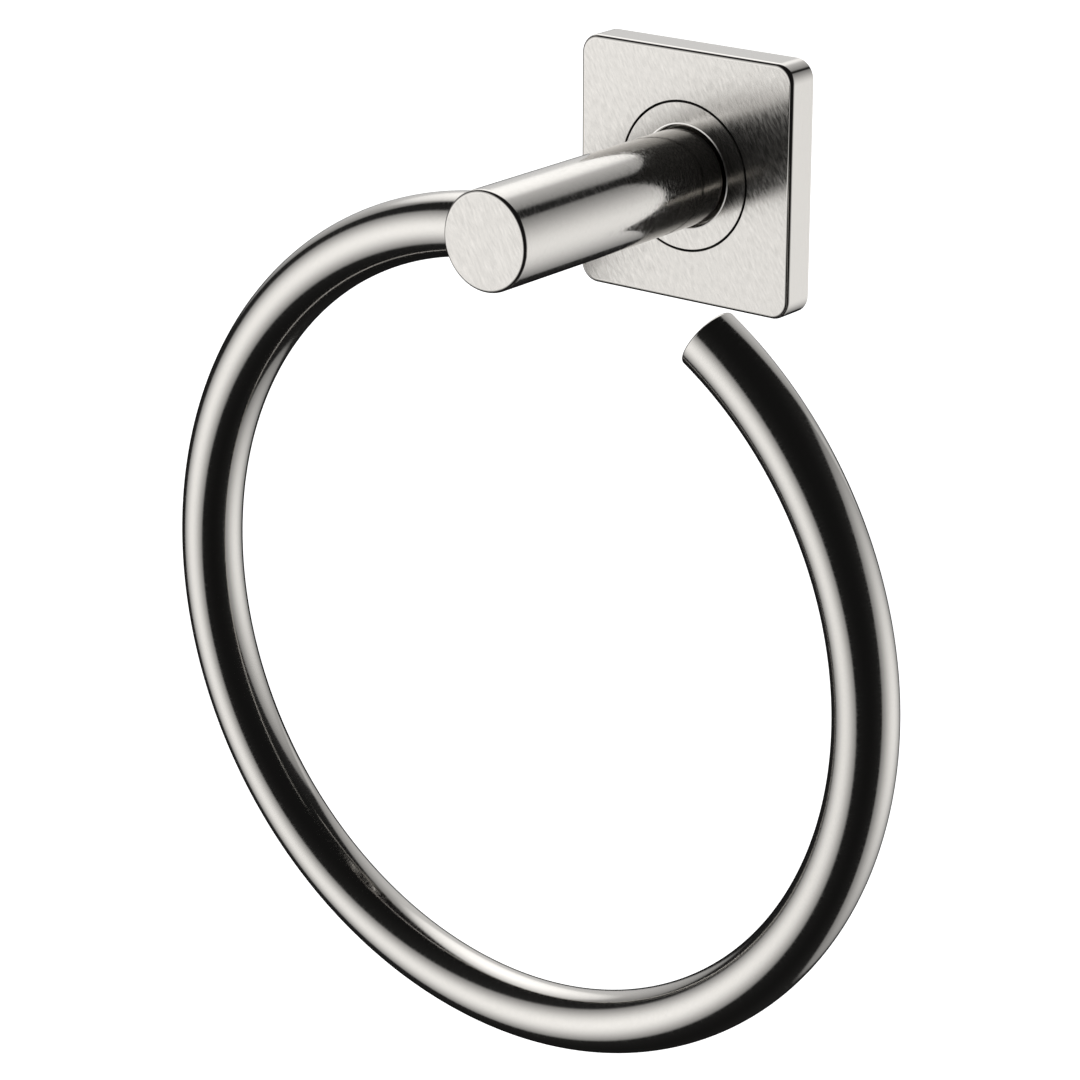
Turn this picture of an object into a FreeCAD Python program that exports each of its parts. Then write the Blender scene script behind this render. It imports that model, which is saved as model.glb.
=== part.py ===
import FreeCAD, Part
import math
import os

# Wall-mounted towel ring: a square cover plate, a round post standing out of
# it, and an open C of bent tube held in the post's side near its front end.
#
# Frame, millimetres: X to the right for someone facing the wall, Y into the
# wall (the wall's surface is Y = 0 and everything stands at negative Y), Z up.
# The origin is the middle of the cover plate, on the wall.

V = FreeCAD.Vector

# ---------------------------------------------------------------- dimensions

# cover plate: a shallow square box, open towards the wall
plate_side = 51.9          # width and height
plate_depth = 7.2          # wall to front face
plate_corner_r = 4.1       # corners seen from the front
plate_edge_r = 0.88        # rounding of the front edges
plate_front_wall = 2.0
plate_rim_wall = 2.2
plate_hole_r = 15.50       # hole that the hub's disc fills
seam_break = 0.05          # edge break on both sides of the seam

# hub: turned disc flush with the plate, with a spigot for the post
hub_disc_r = 15.06
hub_front_y = -7.2
hub_back_y = -2.5
hub_recess_r = 10.45       # well around the post's foot
hub_recess_floor_y = -4.1
hub_lip_r = 10.64          # crest of the low raised lip round the well
hub_lip_foot_r = 10.90     # where the lip's outer slope leaves the front face
hub_lip_height = 0.06
hub_lip_inner_y = -7.12    # where the lip's inner slope meets the well's wall
spigot_r = 6.9
spigot_end_y = -28.0
spigot_end_chamfer = 0.8
spigot_groove_y = -14.0    # V groove for the set screw's point
spigot_groove_depth = 1.2
hub_thread_r = 3.0
hub_thread_end_y = -15.0

# O-ring between the disc and the plate's hole
oring_cord_r = 0.50
oring_mid_r = 14.99
oring_y = -6.1
oring_groove_r = 14.48
oring_groove_width = 1.2

# bracket: flat plate that is screwed to the wall, inside the cover plate
bracket_side = 44.0
bracket_corner_r = 4.0
bracket_thick = 2.5
bracket_hole_r = 2.2       # wall screw holes
bracket_hole_pitch = 29.0  # both ways
bracket_centre_hole_r = 3.2

# countersunk screw through the bracket into the hub
hub_screw_r = 3.0
hub_screw_tip_y = -14.0
hub_screw_head_y = -0.15
csk_constant = 5.1         # cone radius at Y = 0, 45 degree flanks
hub_screw_hex = 4.0        # across flats
hub_screw_hex_depth = 2.2

# dowel that stops the hub turning on the bracket
dowel_r = 1.0
dowel_z = 12.85
dowel_front_y = -4.6
dowel_back_y = -0.2
dowel_hole_front_y = -4.8

# post: round bar bored from its foot
post_r = 10.0
post_front_y = -71.0
post_foot_y = hub_recess_floor_y
post_edge_r = 0.75          # rounding of the front edge
post_foot_chamfer = 0.3
post_bore_r = 7.0          # slides over the spigot
post_bore_end_y = -31.0
post_screw_bore_r = 4.6    # lets the ring's fixing screw through
post_seat_y = -47.5
post_screw_hole_r = 2.75

# set screw in the underside of the post
set_screw_y = spigot_groove_y
set_screw_r = 2.5
set_screw_outer_z = -9.7
set_screw_cone_apex_z = -5.7
set_screw_point_r = 0.35
set_screw_hex = 2.5
set_screw_hex_depth = 1.8

# ring: 12.7 mm tube, 1 mm wall, bent to an arc in a plane parallel to the wall
tube_r = 6.35
tube_wall = 1.0
ring_r = 82.0              # radius of the tube's centre line
ring_y = -61.05
ring_z = -81.58
ring_root_deg = 97.5       # where the arc starts, from +X towards +Z
ring_end_deg = 57.05       # where the arc ends, after going down the left side
tube_end_r = 0.45          # rounding of the open end
root_end_x = 4.0           # how far the straight root reaches inside the post
root_hole_r = 6.40
root_hole_end_x = 4.25

# plugs in the tube's two ends
plug_r = tube_r - tube_wall
root_plug_length = 13.4
end_plug_length = 3.0
end_plug_chamfer = 0.2

# fixing screw along the post's axis, from the bore into the root plug
fix_screw_r = 2.5
fix_screw_tip_y = -63.0
fix_screw_hole_end_y = -64.5
fix_screw_head_r = 4.25
fix_screw_head_h = 5.0
fix_screw_hex = 4.0
fix_screw_hex_depth = 2.5
washer_r = 4.25
washer_hole_r = 2.65
washer_thick = 1.3
washer_split = 0.9

# ------------------------------------------------------------------- helpers


def cyl_y(r, y_from, y_to, x=0.0, z=0.0):
    """Cylinder along Y between two stations."""
    lo, hi = min(y_from, y_to), max(y_from, y_to)
    return Part.makeCylinder(r, hi - lo, V(x, lo, z), V(0, 1, 0))


def cone_y(r_lo, r_hi, y_lo, y_hi, x=0.0, z=0.0):
    """Cone along Y, r_lo at y_lo and r_hi at y_hi."""
    return Part.makeCone(r_lo, r_hi, y_hi - y_lo, V(x, y_lo, z), V(0, 1, 0))


def turned_y(profile):
    """Solid of revolution about the Y axis from (radius, y) points."""
    pts = [V(r, y, 0) for r, y in profile]
    wire = Part.makePolygon(pts + [pts[0]])
    return Part.Face(wire).revolve(V(0, 0, 0), V(0, 1, 0), 360)


def square_y(side, corner_r, y_lo, y_hi):
    """Square block centred on the Y axis with its four long edges rounded."""
    h = side / 2.0
    box = Part.makeBox(side, y_hi - y_lo, side, V(-h, y_lo, -h))
    edges = []
    for e in box.Edges:
        a, b = e.Vertexes[0].Point, e.Vertexes[1].Point
        if abs(a.y - b.y) > 1e-6:
            edges.append(e)
    return box.makeFillet(corner_r, edges)


def hexagon(across_flats, centre, axis, length):
    """Hexagonal prism starting at centre and running along axis."""
    rot = FreeCAD.Rotation(V(0, 0, 1), axis)
    pts = []
    rad = across_flats / math.sqrt(3.0)
    for i in range(6):
        t = math.radians(60.0 * i)
        pts.append(centre + rot.multVec(V(rad * math.cos(t), rad * math.sin(t), 0)))
    face = Part.Face(Part.makePolygon(pts + [pts[0]]))
    d = V(axis)
    d.normalize()
    return face.extrude(d * length)


def arc_point(deg, r=None):
    """Point of the ring's plane at an angle from +X towards +Z."""
    t = math.radians(deg)
    rr = ring_r if r is None else r
    return V(rr * math.cos(t), ring_y, ring_z + rr * math.sin(t))


def bent_rod(r, deg_from, deg_to):
    """Round rod along the ring's arc, from one angle on to a larger one."""
    t = math.radians(deg_from)
    tangent = V(-math.sin(t), 0, math.cos(t))
    face = Part.Face(Part.Wire(Part.makeCircle(r, arc_point(deg_from), tangent)))
    return face.revolve(V(0, ring_y, ring_z), V(0, -1, 0), deg_to - deg_from)


def one_solid(shape, name):
    shape = shape.removeSplitter()
    solids = shape.Solids
    if len(solids) != 1:
        raise RuntimeError("%s has %d solids" % (name, len(solids)))
    s = solids[0]
    if not s.isValid():
        raise RuntimeError("%s is not valid" % name)
    return s


parts = {}

# --------------------------------------------------------------- cover plate

plate = square_y(plate_side, plate_corner_r, -plate_depth, 0.0)
front_edges = []
for e in plate.Edges:
    if all(abs(v.Point.y + plate_depth) < 1e-6 for v in e.Vertexes):
        front_edges.append(e)
plate = plate.makeFillet(plate_edge_r, front_edges)
pocket_side = plate_side - 2.0 * plate_rim_wall
pocket = square_y(pocket_side, plate_corner_r - plate_rim_wall,
                  -plate_depth + plate_front_wall, 1.0)
plate = plate.cut(pocket)
plate = plate.cut(cyl_y(plate_hole_r, -plate_depth - 1.0, 0.5))
plate = plate.cut(cone_y(plate_hole_r + seam_break + 0.5, plate_hole_r,
                         -plate_depth - 0.5, -plate_depth + seam_break))
parts["cover_plate"] = one_solid(plate, "cover_plate")

# ------------------------------------------------------------------- bracket

bracket = square_y(bracket_side, bracket_corner_r, -bracket_thick, 0.0)
half = bracket_hole_pitch / 2.0
for sx in (-1, 1):
    for sz in (-1, 1):
        bracket = bracket.cut(cyl_y(bracket_hole_r, -bracket_thick - 1, 1,
                                    sx * half, sz * half))
bracket = bracket.cut(cyl_y(bracket_centre_hole_r, -bracket_thick - 1, 1))
bracket = bracket.cut(cone_y(bracket_centre_hole_r, csk_constant + 0.5,
                             bracket_centre_hole_r - csk_constant, 0.5))
bracket = bracket.cut(cyl_y(dowel_r, -bracket_thick - 1, 1, 0.0, dowel_z))
parts["wall_bracket"] = one_solid(bracket, "wall_bracket")

# ----------------------------------------------------------------------- hub

g = spigot_groove_depth
hub = turned_y([
    (0.0, hub_back_y),
    (hub_disc_r - 0.2, hub_back_y),
    (hub_disc_r, hub_back_y - 0.2),
    (hub_disc_r, oring_y + oring_groove_width / 2.0),
    (oring_groove_r, oring_y + oring_groove_width / 2.0),
    (oring_groove_r, oring_y - oring_groove_width / 2.0),
    (hub_disc_r, oring_y - oring_groove_width / 2.0),
    (hub_disc_r, hub_front_y + seam_break),
    (hub_disc_r - seam_break, hub_front_y),
    (hub_lip_foot_r, hub_front_y),
    (hub_lip_r, hub_front_y - hub_lip_height),
    (hub_recess_r, hub_lip_inner_y),
    (hub_recess_r, hub_recess_floor_y),
    (spigot_r, hub_recess_floor_y),
    (spigot_r, spigot_groove_y + g),
    (spigot_r - g, spigot_groove_y),
    (spigot_r, spigot_groove_y - g),
    (spigot_r, spigot_end_y + spigot_end_chamfer),
    (spigot_r - spigot_end_chamfer, spigot_end_y),
    (0.0, spigot_end_y),
])
hub = hub.cut(cyl_y(hub_thread_r, hub_thread_end_y, hub_back_y + 1.0))
hub = hub.cut(cone_y(0.0, hub_thread_r, hub_thread_end_y - 1.7, hub_thread_end_y))
hub = hub.cut(cyl_y(dowel_r, dowel_hole_front_y, hub_back_y + 1.0, 0.0, dowel_z))
parts["wall_hub"] = one_solid(hub, "wall_hub")

# -------------------------------------------------------------------- O-ring

parts["cover_o_ring"] = one_solid(
    Part.makeTorus(oring_mid_r, oring_cord_r, V(0, oring_y, 0), V(0, 1, 0)),
    "cover_o_ring")

# ------------------------------------------------- countersunk screw, dowel

cone_start_y = hub_screw_r - csk_constant
screw = cyl_y(hub_screw_r, hub_screw_tip_y + 0.4, cone_start_y)
screw = screw.fuse(cone_y(hub_screw_r - 0.4, hub_screw_r,
                          hub_screw_tip_y, hub_screw_tip_y + 0.4))
screw = screw.fuse(cone_y(hub_screw_r, csk_constant + hub_screw_head_y,
                          cone_start_y, hub_screw_head_y))
screw = screw.cut(hexagon(hub_screw_hex, V(0, hub_screw_head_y + 0.5, 0),
                          V(0, -1, 0), hub_screw_hex_depth + 0.5))
parts["hub_screw"] = one_solid(screw, "hub_screw")

c = 0.25
parts["hub_dowel"] = one_solid(
    turned_y([(0, dowel_front_y), (dowel_r - c, dowel_front_y),
              (dowel_r, dowel_front_y + c), (dowel_r, dowel_back_y - c),
              (dowel_r - c, dowel_back_y), (0, dowel_back_y)]
             ).translated(V(0, 0, dowel_z)), "hub_dowel")

# ----------------------------------------------------------- path of the root

t_root = math.radians(ring_root_deg)
root_start = arc_point(ring_root_deg)
root_dir = V(math.sin(t_root), 0, -math.cos(t_root))
root_len = (root_end_x - root_start.x) / root_dir.x
root_hole_len = (root_hole_end_x - root_start.x) / root_dir.x

# ---------------------------------------------------------------------- post

post = cyl_y(post_r, post_front_y, post_foot_y)
front = [e for e in post.Edges
         if e.Curve.TypeId == "Part::GeomCircle"
         and abs(e.Curve.Center.y - post_front_y) < 1e-6]
post = post.makeFillet(post_edge_r, front)
foot = [e for e in post.Edges
        if e.Curve.TypeId == "Part::GeomCircle"
        and abs(e.Curve.Center.y - post_foot_y) < 1e-6]
post = post.makeChamfer(post_foot_chamfer, foot)
post = post.cut(cyl_y(post_bore_r, post_bore_end_y, post_foot_y + 1.0))
post = post.cut(cyl_y(post_screw_bore_r, post_seat_y, post_foot_y))
post = post.cut(cyl_y(post_screw_hole_r, ring_y, post_seat_y + 1.0))
post = post.cut(Part.makeCylinder(root_hole_r, root_hole_len + 6.0,
                                  root_start - root_dir * 6.0, root_dir))
post = post.cut(Part.makeCylinder(set_screw_r, post_r + 1.0 - 4.0,
                                  V(0, set_screw_y, -post_r - 1.0), V(0, 0, 1)))
parts["post"] = one_solid(post, "post")

# ------------------------------------------------------------------ set screw

cone_base_z = set_screw_cone_apex_z - set_screw_r
tip_z = set_screw_cone_apex_z - set_screw_point_r
grub = Part.makeCylinder(set_screw_r, cone_base_z - set_screw_outer_z,
                         V(0, set_screw_y, set_screw_outer_z), V(0, 0, 1))
grub = grub.fuse(Part.makeCone(set_screw_r, set_screw_point_r,
                               tip_z - cone_base_z,
                               V(0, set_screw_y, cone_base_z), V(0, 0, 1)))
grub = grub.cut(hexagon(set_screw_hex, V(0, set_screw_y, set_screw_outer_z - 0.5),
                        V(0, 0, 1), set_screw_hex_depth + 0.5))
parts["post_set_screw"] = one_solid(grub, "post_set_screw")

# ----------------------------------------------------------------------- ring

arc_to = ring_end_deg + 360.0
bar = bent_rod(tube_r, ring_root_deg, arc_to)
bar = bar.fuse(Part.makeCylinder(tube_r, root_len, root_start, root_dir))
bar = bar.removeSplitter()
end_centre = arc_point(ring_end_deg)
end_edges = [e for e in bar.Edges
             if e.Curve.TypeId == "Part::GeomCircle"
             and (e.Curve.Center - end_centre).Length < 1e-4
             and abs(e.Curve.Radius - tube_r) < 1e-4]
bar = bar.makeFillet(tube_end_r, end_edges)
core = bent_rod(plug_r, ring_root_deg, arc_to + 1.0)
core = core.fuse(Part.makeCylinder(plug_r, root_len + 1.0, root_start, root_dir))
ring = bar.cut(core)
ring = ring.cut(cyl_y(post_screw_hole_r, ring_y, ring_y + tube_r + 1.0))
parts["ring"] = one_solid(ring, "ring")

# ---------------------------------------------------------------------- plugs

root_tip = root_start + root_dir * root_len
root_plug = Part.makeCylinder(plug_r, root_plug_length, root_tip, root_dir * -1.0)
root_plug = root_plug.cut(cyl_y(fix_screw_r, fix_screw_hole_end_y, ring_y + tube_r))
parts["ring_root_plug"] = one_solid(root_plug, "ring_root_plug")

plug_deg = math.degrees(end_plug_length / ring_r)
end_plug = bent_rod(plug_r, arc_to - plug_deg, arc_to)
rim = [e for e in end_plug.Edges
       if e.Curve.TypeId == "Part::GeomCircle"
       and (e.Curve.Center - end_centre).Length < 1e-4]
end_plug = end_plug.makeChamfer(end_plug_chamfer, rim)
parts["ring_end_plug"] = one_solid(end_plug, "ring_end_plug")

# --------------------------------------------------- fixing screw and washer

head_seat_y = post_seat_y + washer_thick
fix = cyl_y(fix_screw_r, fix_screw_tip_y + 0.4, head_seat_y)
fix = fix.fuse(cone_y(fix_screw_r - 0.4, fix_screw_r,
                      fix_screw_tip_y, fix_screw_tip_y + 0.4))
fix = fix.fuse(cyl_y(fix_screw_head_r, head_seat_y, head_seat_y + fix_screw_head_h))
fix = fix.cut(hexagon(fix_screw_hex,
                      V(0, head_seat_y + fix_screw_head_h + 0.5, 0),
                      V(0, -1, 0), fix_screw_hex_depth + 0.5))
parts["ring_fixing_screw"] = one_solid(fix, "ring_fixing_screw")

washer = cyl_y(washer_r, post_seat_y, head_seat_y)
washer = washer.cut(cyl_y(washer_hole_r, post_seat_y - 1, head_seat_y + 1))
slit = Part.makeBox(washer_split, washer_thick + 4.0, washer_r + 2.0,
                    V(-washer_split / 2.0, post_seat_y - 2.0, 0.0))
slit.rotate(V(0, post_seat_y + washer_thick / 2.0, 0), V(0, 0, 1), 35.0)
washer = washer.cut(slit)
parts["lock_washer"] = one_solid(washer, "lock_washer")

# --------------------------------------------------------------------- output

os.makedirs("parts", exist_ok=True)
for name, shape in parts.items():
    shape.exportStep("parts/%s.step" % name)
    b = shape.BoundBox
    print("%-18s %9.1f mm3  X %7.2f %7.2f  Y %7.2f %7.2f  Z %8.2f %7.2f"
          % (name, shape.Volume, b.XMin, b.XMax, b.YMin, b.YMax, b.ZMin, b.ZMax))
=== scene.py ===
import math

import bpy
import numpy as np
from mathutils import Matrix, Vector
from mathutils.geometry import tessellate_polygon


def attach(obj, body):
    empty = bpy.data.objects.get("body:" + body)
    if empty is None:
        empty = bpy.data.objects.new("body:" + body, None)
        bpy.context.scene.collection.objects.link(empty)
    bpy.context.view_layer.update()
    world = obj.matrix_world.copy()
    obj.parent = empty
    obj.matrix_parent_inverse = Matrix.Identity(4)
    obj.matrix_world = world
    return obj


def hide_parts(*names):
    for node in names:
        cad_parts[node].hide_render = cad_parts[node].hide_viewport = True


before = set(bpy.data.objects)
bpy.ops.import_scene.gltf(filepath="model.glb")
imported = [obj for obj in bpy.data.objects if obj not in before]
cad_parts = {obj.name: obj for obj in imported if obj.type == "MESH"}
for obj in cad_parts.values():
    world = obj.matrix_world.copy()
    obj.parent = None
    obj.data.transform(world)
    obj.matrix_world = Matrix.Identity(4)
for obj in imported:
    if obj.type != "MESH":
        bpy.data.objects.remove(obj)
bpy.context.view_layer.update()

# Wall-mounted towel ring in satin nickel: cover plate, hub disc, post and bent
# tube. Shapes below are written in millimetres and turned into metres when a
# mesh is made. X is right facing the wall, Y into the wall, Z up.

# ------------------------------------------------------------- dimensions, mm

PLATE_SIDE = 51.9
PLATE_DEPTH = 7.2
PLATE_CORNER = 4.1
PLATE_EDGE = 0.88
PLATE_FRONT_WALL = 2.0
PLATE_RIM_WALL = 2.2
PLATE_HOLE = 15.50
SEAM_BREAK = 0.05

HUB_PROFILE = [
    (14.86, -2.5), (15.06, -2.7), (15.06, -5.5), (14.48, -5.5), (14.48, -6.7),
    (15.06, -6.7), (15.06, -7.15), (15.01, -7.2), (10.90, -7.2), (10.64, -7.26),
    (10.45, -7.12), (10.45, -4.1), (6.9, -4.1), (6.9, -12.8), (5.7, -14.0), (6.9, -15.2),
    (6.9, -27.2), (6.1, -28.0), (0.0, -28.0)]
WELL_LIP = 8                        # the first of two runs of the raised lip round the well
HUB_THREAD = 3.0
HUB_THREAD_END = -15.0
DOWEL_R = 1.0
DOWEL_Z = 12.85
DOWEL_HOLE_END = -4.8

POST_R = 10.0
POST_FRONT = -71.0
POST_FOOT = -4.1
POST_EDGE = 0.75
POST_CHAMFER = 0.3
POST_BORE = 7.0
POST_BORE_END = -31.0
SCREW_BORE = 4.6
SEAT = -47.5
SCREW_HOLE = 2.75
CROSS_R = 6.40
SET_R = 2.5
SET_Y = -14.0

TUBE_R = 6.35
TUBE_BORE = 5.35
RING_R = 82.0
RING_Y = -61.05
RING_Z = -81.58
ROOT_DEG = 97.5
END_DEG = 57.05 + 360.0
TUBE_EDGE = 0.45
PLUG_LENGTH = 3.0
PLUG_CHAMFER = 0.2

# --------------------------------------------------------------- mesh helpers

Y = np.array([0.0, 1.0, 0.0])


class Skin:
    """Patches of one closed surface. Every corner has its exact normal and its
    place in brush space: first number across the brush marks, then along."""

    def __init__(self):
        self.p, self.n, self.b, self.f, self.m = [], [], [], [], []
        self.count = 0
        self.finish = 0         # which of the piece's materials comes next

    def add(self, pts, nrm, brush, faces):
        pts = np.asarray(pts, float).reshape(-1, 3)
        nrm = np.asarray(nrm, float).reshape(-1, 3)
        brush = np.asarray(brush, float).reshape(-1, 3)
        for f in faces:
            q = pts[list(f)]
            g = np.zeros(3)
            for k in range(1, len(f) - 1):
                g += np.cross(q[k] - q[0], q[k + 1] - q[0])
            if g @ nrm[list(f)].sum(0) < 0:
                f = f[::-1]
            self.f.append([int(i) + self.count for i in f])
            self.m.append(self.finish)
        self.p.append(pts)
        self.n.append(nrm)
        self.b.append(brush)
        self.count += len(pts)

    def grid(self, pts, nrm, brush):
        """Quads of a sheet of points, rows by columns."""
        rows, cols = pts.shape[:2]
        i = np.arange(rows * cols).reshape(rows, cols)
        quads = np.stack([i[:-1, :-1], i[1:, :-1], i[1:, 1:], i[:-1, 1:]], -1).reshape(-1, 4)
        p = pts.reshape(-1, 3)
        n = np.broadcast_to(nrm, pts.shape).reshape(-1, 3)
        b = np.broadcast_to(brush, pts.shape).reshape(-1, 3)
        d1 = p[quads[:, 2]] - p[quads[:, 0]]
        d2 = p[quads[:, 3]] - p[quads[:, 1]]
        g = np.cross(d1, d2)
        wrong = (g * n[quads].sum(1)).sum(1) < 0
        quads[wrong] = quads[wrong][:, ::-1]
        self.f.extend((quads + self.count).tolist())
        self.m.extend([self.finish] * len(quads))
        self.p.append(p)
        self.n.append(n)
        self.b.append(b)
        self.count += len(p)

    def flat(self, loops, normal, brush_of):
        """Flat face with holes. The first loop is the outline."""
        tris = tessellate_polygon([[Vector(q) for q in lp] for lp in loops])
        pts = np.concatenate([np.asarray(lp, float) for lp in loops])
        self.add(pts, np.broadcast_to(normal, pts.shape), brush_of(pts), tris)

    def band(self, outer, inner, normal, brush_of):
        """Flat face between two closed loops round the Y axis, as triangles
        that take the points of both in the order of their direction."""
        loops = [np.asarray(outer, float), np.asarray(inner, float)]
        turn = []
        for lp in loops:
            a = np.unwrap(np.arctan2(lp[:, 2], lp[:, 0]))
            turn.append(np.append(a, a[0] + math.copysign(2 * math.pi, a[-1] - a[0])))
        if turn[0][-1] < turn[0][0] or turn[1][-1] < turn[1][0]:
            raise RuntimeError("loops must run the same way")
        k = int(np.argmin(np.abs((turn[1][:-1] - turn[0][0] + math.pi) % (2 * math.pi) - math.pi)))
        loops[1] = np.roll(loops[1], -k, axis=0)
        a = np.unwrap(np.arctan2(loops[1][:, 2], loops[1][:, 0]))
        a += 2 * math.pi * round((turn[0][0] - a[0]) / (2 * math.pi))
        turn[1] = np.append(a, a[0] + 2 * math.pi)
        n, m = len(loops[0]), len(loops[1])
        i = j = 0
        faces = []
        while i < n or j < m:
            if j == m or (i < n and turn[0][i + 1] <= turn[1][j + 1]):
                faces.append([i % n, (i + 1) % n, n + j % m])
                i += 1
            else:
                faces.append([i % n, n + (j + 1) % m, n + j % m])
                j += 1
        pts = np.concatenate(loops)
        self.add(pts, np.broadcast_to(normal, pts.shape), brush_of(pts), faces)

    def mesh(self, name):
        p, n, b = np.concatenate(self.p), np.concatenate(self.n), np.concatenate(self.b)
        key = np.round(p / 2e-4).astype(np.int64)
        _, first, to = np.unique(key, axis=0, return_index=True, return_inverse=True)
        to = to.reshape(-1)
        faces, corners, finish = [], [], []
        for f, m in zip(self.f, self.m):
            keep = [i for k, i in enumerate(f) if to[i] != to[f[k - 1]]]
            if len(keep) > 2 and len({to[i] for i in keep}) == len(keep):
                faces.append([int(to[i]) for i in keep])
                corners.extend(keep)
                finish.append(m)
        me = bpy.data.meshes.new(name)
        me.from_pydata((p[first] / 1000.0).tolist(), [], faces)
        me.polygons.foreach_set("use_smooth", [True] * len(faces))
        for _ in range(max(finish) + 1):
            me.materials.append(None)
        me.polygons.foreach_set("material_index", finish)
        a = me.attributes.new("brush", "FLOAT_VECTOR", "CORNER")
        a.data.foreach_set("vector", b[corners].astype(np.float32).reshape(-1))
        me.normals_split_custom_set(n[corners].tolist())
        me.update()
        o = bpy.data.objects.new(name, me)
        bpy.context.scene.collection.objects.link(o)
        return o


def unit(v):
    return v / np.linalg.norm(v, axis=-1, keepdims=True)


def angles(n):
    return np.linspace(0.0, 2.0 * math.pi, n + 1)


def circle(r, y, n, x=0.0, z=0.0):
    """Open list of the points of a circle about a line along Y."""
    t = angles(n)[:-1]
    return np.stack([x + r * np.cos(t), np.full(n, y), z + r * np.sin(t)], -1)


def turned(skin, profile, n, brush_of, x=0.0, z=0.0):
    """Surface of revolution about a line along Y, one patch for each run of
    (radius, y, radial part of the normal, y part of the normal)."""
    t = angles(n)
    ct, st = np.cos(t), np.sin(t)
    rows = []
    norm = []
    for r, y, nr, ny in profile:
        rows.append(np.stack([x + r * ct, np.full(n + 1, y), z + r * st], -1))
        norm.append(np.stack([nr * ct, np.full(n + 1, ny), nr * st], -1))
    pts = np.array(rows)
    skin.grid(pts, np.array(norm), brush_of(pts))


def straight(a, b, inward=False):
    """Profile of one straight line from (radius, y) a to b, with the normal on
    the right hand going from a to b in (radius, y)."""
    dr, dy = b[0] - a[0], b[1] - a[1]
    ln = math.hypot(dr, dy)
    nr, ny = dy / ln, -dr / ln
    if inward:
        nr, ny = -nr, -ny
    return [(a[0], a[1], nr, ny), (b[0], b[1], nr, ny)]


def holed(u, v, rim, layers):
    """Parameters of a patch between the border of a rectangle and a closed rim.
    u and v are the rectangle's own stations, rim has (u, v) for as many points
    as the border, and both are matched by their direction from the middle."""
    border = ([(a, v[0]) for a in u[:-1]] + [(u[-1], b) for b in v[:-1]]
              + [(a, v[-1]) for a in u[:0:-1]] + [(u[0], b) for b in v[:0:-1]])
    border = np.array(border)
    rim = np.array(rim)
    if len(border) != len(rim):
        raise RuntimeError("border %d, rim %d" % (len(border), len(rim)))
    mid = rim.mean(0)
    scale = np.array([abs(u[-1] - u[0]), abs(v[-1] - v[0])])
    d1, d2 = (border - mid) / scale, (rim - mid) / scale
    a1, a2 = np.unwrap(np.arctan2(d1[:, 1], d1[:, 0])), np.unwrap(np.arctan2(d2[:, 1], d2[:, 0]))
    if (a1[-1] - a1[0]) * (a2[-1] - a2[0]) < 0:
        rim = rim[::-1]
        a2 = a2[::-1]
    best, shift = None, 0
    for k in range(len(rim)):
        d = np.angle(np.exp(1j * (np.roll(a2, -k) - a1)))
        e = float((d ** 2).sum())
        if best is None or e < best:
            best, shift = e, k
    rim = np.roll(rim, -shift, axis=0)
    border = np.concatenate([border, border[:1]])
    rim = np.concatenate([rim, rim[:1]])
    w = np.linspace(0.0, 1.0, layers + 1)[:, None, None]
    return border * (1 - w) + rim * w


# ------------------------------------------------------------- brush patterns

MARK = math.radians(120.5)          # straight marks on the flat faces, X to Z
MARK_ALONG = np.array([math.cos(MARK), 0.0, math.sin(MARK)])
MARK_ACROSS = np.array([math.sin(MARK), 0.0, -math.cos(MARK)])


def front_brush(shift):
    def f(p):
        p = np.asarray(p, float)
        return np.stack([p @ MARK_ACROSS, p @ MARK_ALONG, np.full(p.shape[:-1], shift)], -1)
    return f


def turned_brush(shift):
    """Marks that run round the Y axis."""
    def f(p):
        p = np.asarray(p, float)
        return np.stack([p[..., 1] + shift, p[..., 0], p[..., 2]], -1)
    return f


def lathe_brush(shift):
    """Marks that run round the Y axis on a flat turned face."""
    def f(p):
        p = np.asarray(p, float)
        r = np.hypot(p[..., 0], p[..., 2])
        return np.stack([r + shift, p[..., 0], p[..., 2]], -1)
    return f


def rim_brush(shift):
    """Marks that run along the thin sides of a square block."""
    def f(p):
        p = np.asarray(p, float)
        return np.stack([p[..., 1] + shift, p[..., 0], p[..., 2]], -1)
    return f


# ---------------------------------------------------------------- cover plate


def square_loop(half, corner, flat_steps, arc_steps):
    """Points and outward normals of a rounded square, anticlockwise from the
    middle of the right side, as arrays of (x, z). Not closed."""
    pts, nrm = [], []
    c = half - corner
    for k in range(4):
        t0 = k * math.pi / 2
        d = np.array([math.cos(t0), math.sin(t0)])
        s = np.array([-d[1], d[0]])
        for i in range(flat_steps):
            pts.append(d * half + s * (-c + 2 * c * i / flat_steps))
            nrm.append(d)
        for i in range(arc_steps):
            t = t0 + (math.pi / 2) * i / arc_steps
            n = np.array([math.cos(t), math.sin(t)])
            pts.append(d * c + s * c + corner * n)
            nrm.append(n)
    return np.array(pts), np.array(nrm)


def wall_of_square(skin, half, corner, stations, flat_steps, arc_steps, brush_of, sign=1.0):
    """Wall round a rounded square. stations: (inset, y, outward part of the
    normal, y part of the normal)."""
    pts, nrm = square_loop(half, corner, flat_steps, arc_steps)
    pts = np.concatenate([pts, pts[:1]])
    nrm = np.concatenate([nrm, nrm[:1]])
    rows, norm = [], []
    for inset, y, no, ny in stations:
        q = pts - nrm * inset
        rows.append(np.stack([q[:, 0], np.full(len(q), y), q[:, 1]], -1))
        norm.append(np.stack([sign * no * nrm[:, 0], np.full(len(q), ny), sign * no * nrm[:, 1]], -1))
    rows = np.array(rows)
    skin.grid(rows, np.array(norm), brush_of(rows))


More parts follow.
